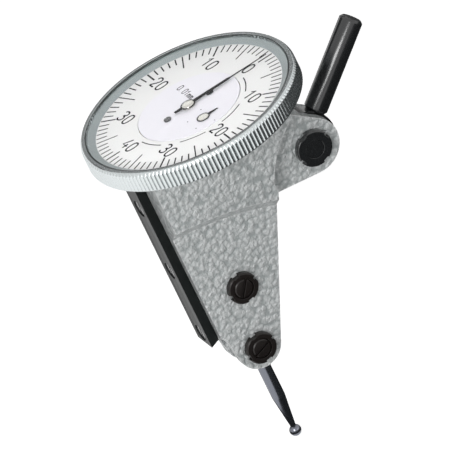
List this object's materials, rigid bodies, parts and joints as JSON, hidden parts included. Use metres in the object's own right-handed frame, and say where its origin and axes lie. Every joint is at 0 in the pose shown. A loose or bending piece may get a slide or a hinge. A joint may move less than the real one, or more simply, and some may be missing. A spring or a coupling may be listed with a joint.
{
  "type": "dial test indicator",
  "caption": "Lever-type dial test indicator with a vertical dial, turning knurled bezel, swivelling ball stylus, dovetail rail and folding clamping stem.",
  "frame": {"origin": "centre of the dovetail rail's outer face", "axes": "+Z along the body towards the dial, +X from the rail towards the clamping stem, Y along the pivots"},
  "size_m": [0.051, 0.038, 0.0637],
  "materials": {
    "hammertone_paint": "light grey hammertone paint on a die casting",
    "black_steel": "blackened hardened steel",
    "browned_steel": "browned steel",
    "satin_chrome": "satin chrome",
    "clear_crystal": "clear acrylic",
    "clear_nylon": "clear nylon",
    "dial_paint": "white dial paint with black printing",
    "disc_paint": "pale dial paint",
    "bright_steel": "bright turned steel",
    "spring_steel": "blued spring steel",
    "hand_black": "matt black paint",
    "movement_brass": "fine brushed brass",
    "dark_chrome": "polished hardened steel"
  },
  "bodies": {
    "housing": {"housing": "hammertone_paint", "dovetail_rail": "black_steel", "rail_screws": "black_steel", "dial_disc": "disc_paint", "dial_screws": "bright_steel", "dial_posts": "movement_brass", "bezel_spring": "spring_steel", "hairspring": "spring_steel", "movement_plate": "movement_brass", "front_cock": "movement_brass", "rear_cock": "movement_brass", "centre_cock": "movement_brass", "plate_screws": "bright_steel", "cock_screws": "bright_steel", "middle_bearing_screws": "browned_steel", "middle_locknuts": "browned_steel", "lower_bearing_screws": "browned_steel", "lower_locknuts": "browned_steel", "stem_screw": "black_steel", "stem_nut": "black_steel", "stem_washer": "spring_steel"},
    "bezel": {"bezel_ring": "satin_chrome", "crystal": "clear_crystal", "crystal_seal": "clear_nylon", "dial_ring": "dial_paint"},
    "pointer": {"pointer_hand": "hand_black", "pointer_hub": "bright_steel", "centre_arbor": "bright_steel", "centre_pinion": "bright_steel", "counter_pinion": "bright_steel"},
    "counter": {"counter_hand": "hand_black", "counter_hub": "bright_steel", "counter_arbor": "bright_steel", "counter_wheel": "movement_brass"},
    "crown": {"crown_wheel": "movement_brass", "crown_arbor": "bright_steel", "crown_pinion": "bright_steel"},
    "sector": {"sector_lever": "movement_brass", "sector_arbor": "bright_steel"},
    "lever": {"lever_carrier": "bright_steel", "drive_pin": "bright_steel"},
    "stylus": {"stylus_knuckle": "bright_steel", "stylus_shank": "dark_chrome", "stylus_ball": "dark_chrome"},
    "stem": {"stem": "black_steel"}
  },
  "joints": [
    {"name": "bezel_turn", "type": "hinge", "parent": "housing", "child": "bezel", "pos_m": [0.015, 0, 0.02], "axis": [0, 0, 1], "continuous": true},
    {"name": "pointer_turn", "type": "hinge", "parent": "housing", "child": "pointer", "pos_m": [0.015, 0, 0.02], "axis": [0, 0, 1], "range_deg": [-720, 0]},
    {"name": "counter_turn", "type": "hinge", "parent": "housing", "child": "counter", "pos_m": [0.015, -0.0057, 0.02], "axis": [0, 0, 1], "range_deg": [0, 180]},
    {"name": "crown_turn", "type": "hinge", "parent": "housing", "child": "crown", "pos_m": [0.015, 0, 0.00887], "axis": [0, 1, 0], "range_deg": [0, 120]},
    {"name": "sector_swing", "type": "hinge", "parent": "housing", "child": "sector", "pos_m": [0.00875, 0, -0.01], "axis": [0, 1, 0], "range_deg": [-9.8, 0]},
    {"name": "lever_swing", "type": "hinge", "parent": "housing", "child": "lever", "pos_m": [0.00703, 0, -0.0212], "axis": [0, 1, 0], "range_deg": [0, 4.9]},
    {"name": "stylus_swivel", "type": "hinge", "parent": "lever", "child": "stylus", "pos_m": [0.00703, 0, -0.0212], "axis": [0, 1, 0], "range_deg": [-100, 100]},
    {"name": "stem_swivel", "type": "hinge", "parent": "housing", "child": "stem", "pos_m": [0.02964, 0, 0.0049], "axis": [0, 1, 0], "range_deg": [-20, 135]}
  ],
  "couplings": [
    {"joint": "counter_turn", "follows": "pointer_turn", "ratio": -0.25},
    {"joint": "crown_turn", "follows": "pointer_turn", "ratio": -0.16667},
    {"joint": "sector_swing", "follows": "pointer_turn", "ratio": 0.013605},
    {"joint": "lever_swing", "follows": "pointer_turn", "ratio": -0.0068027}
  ]
}
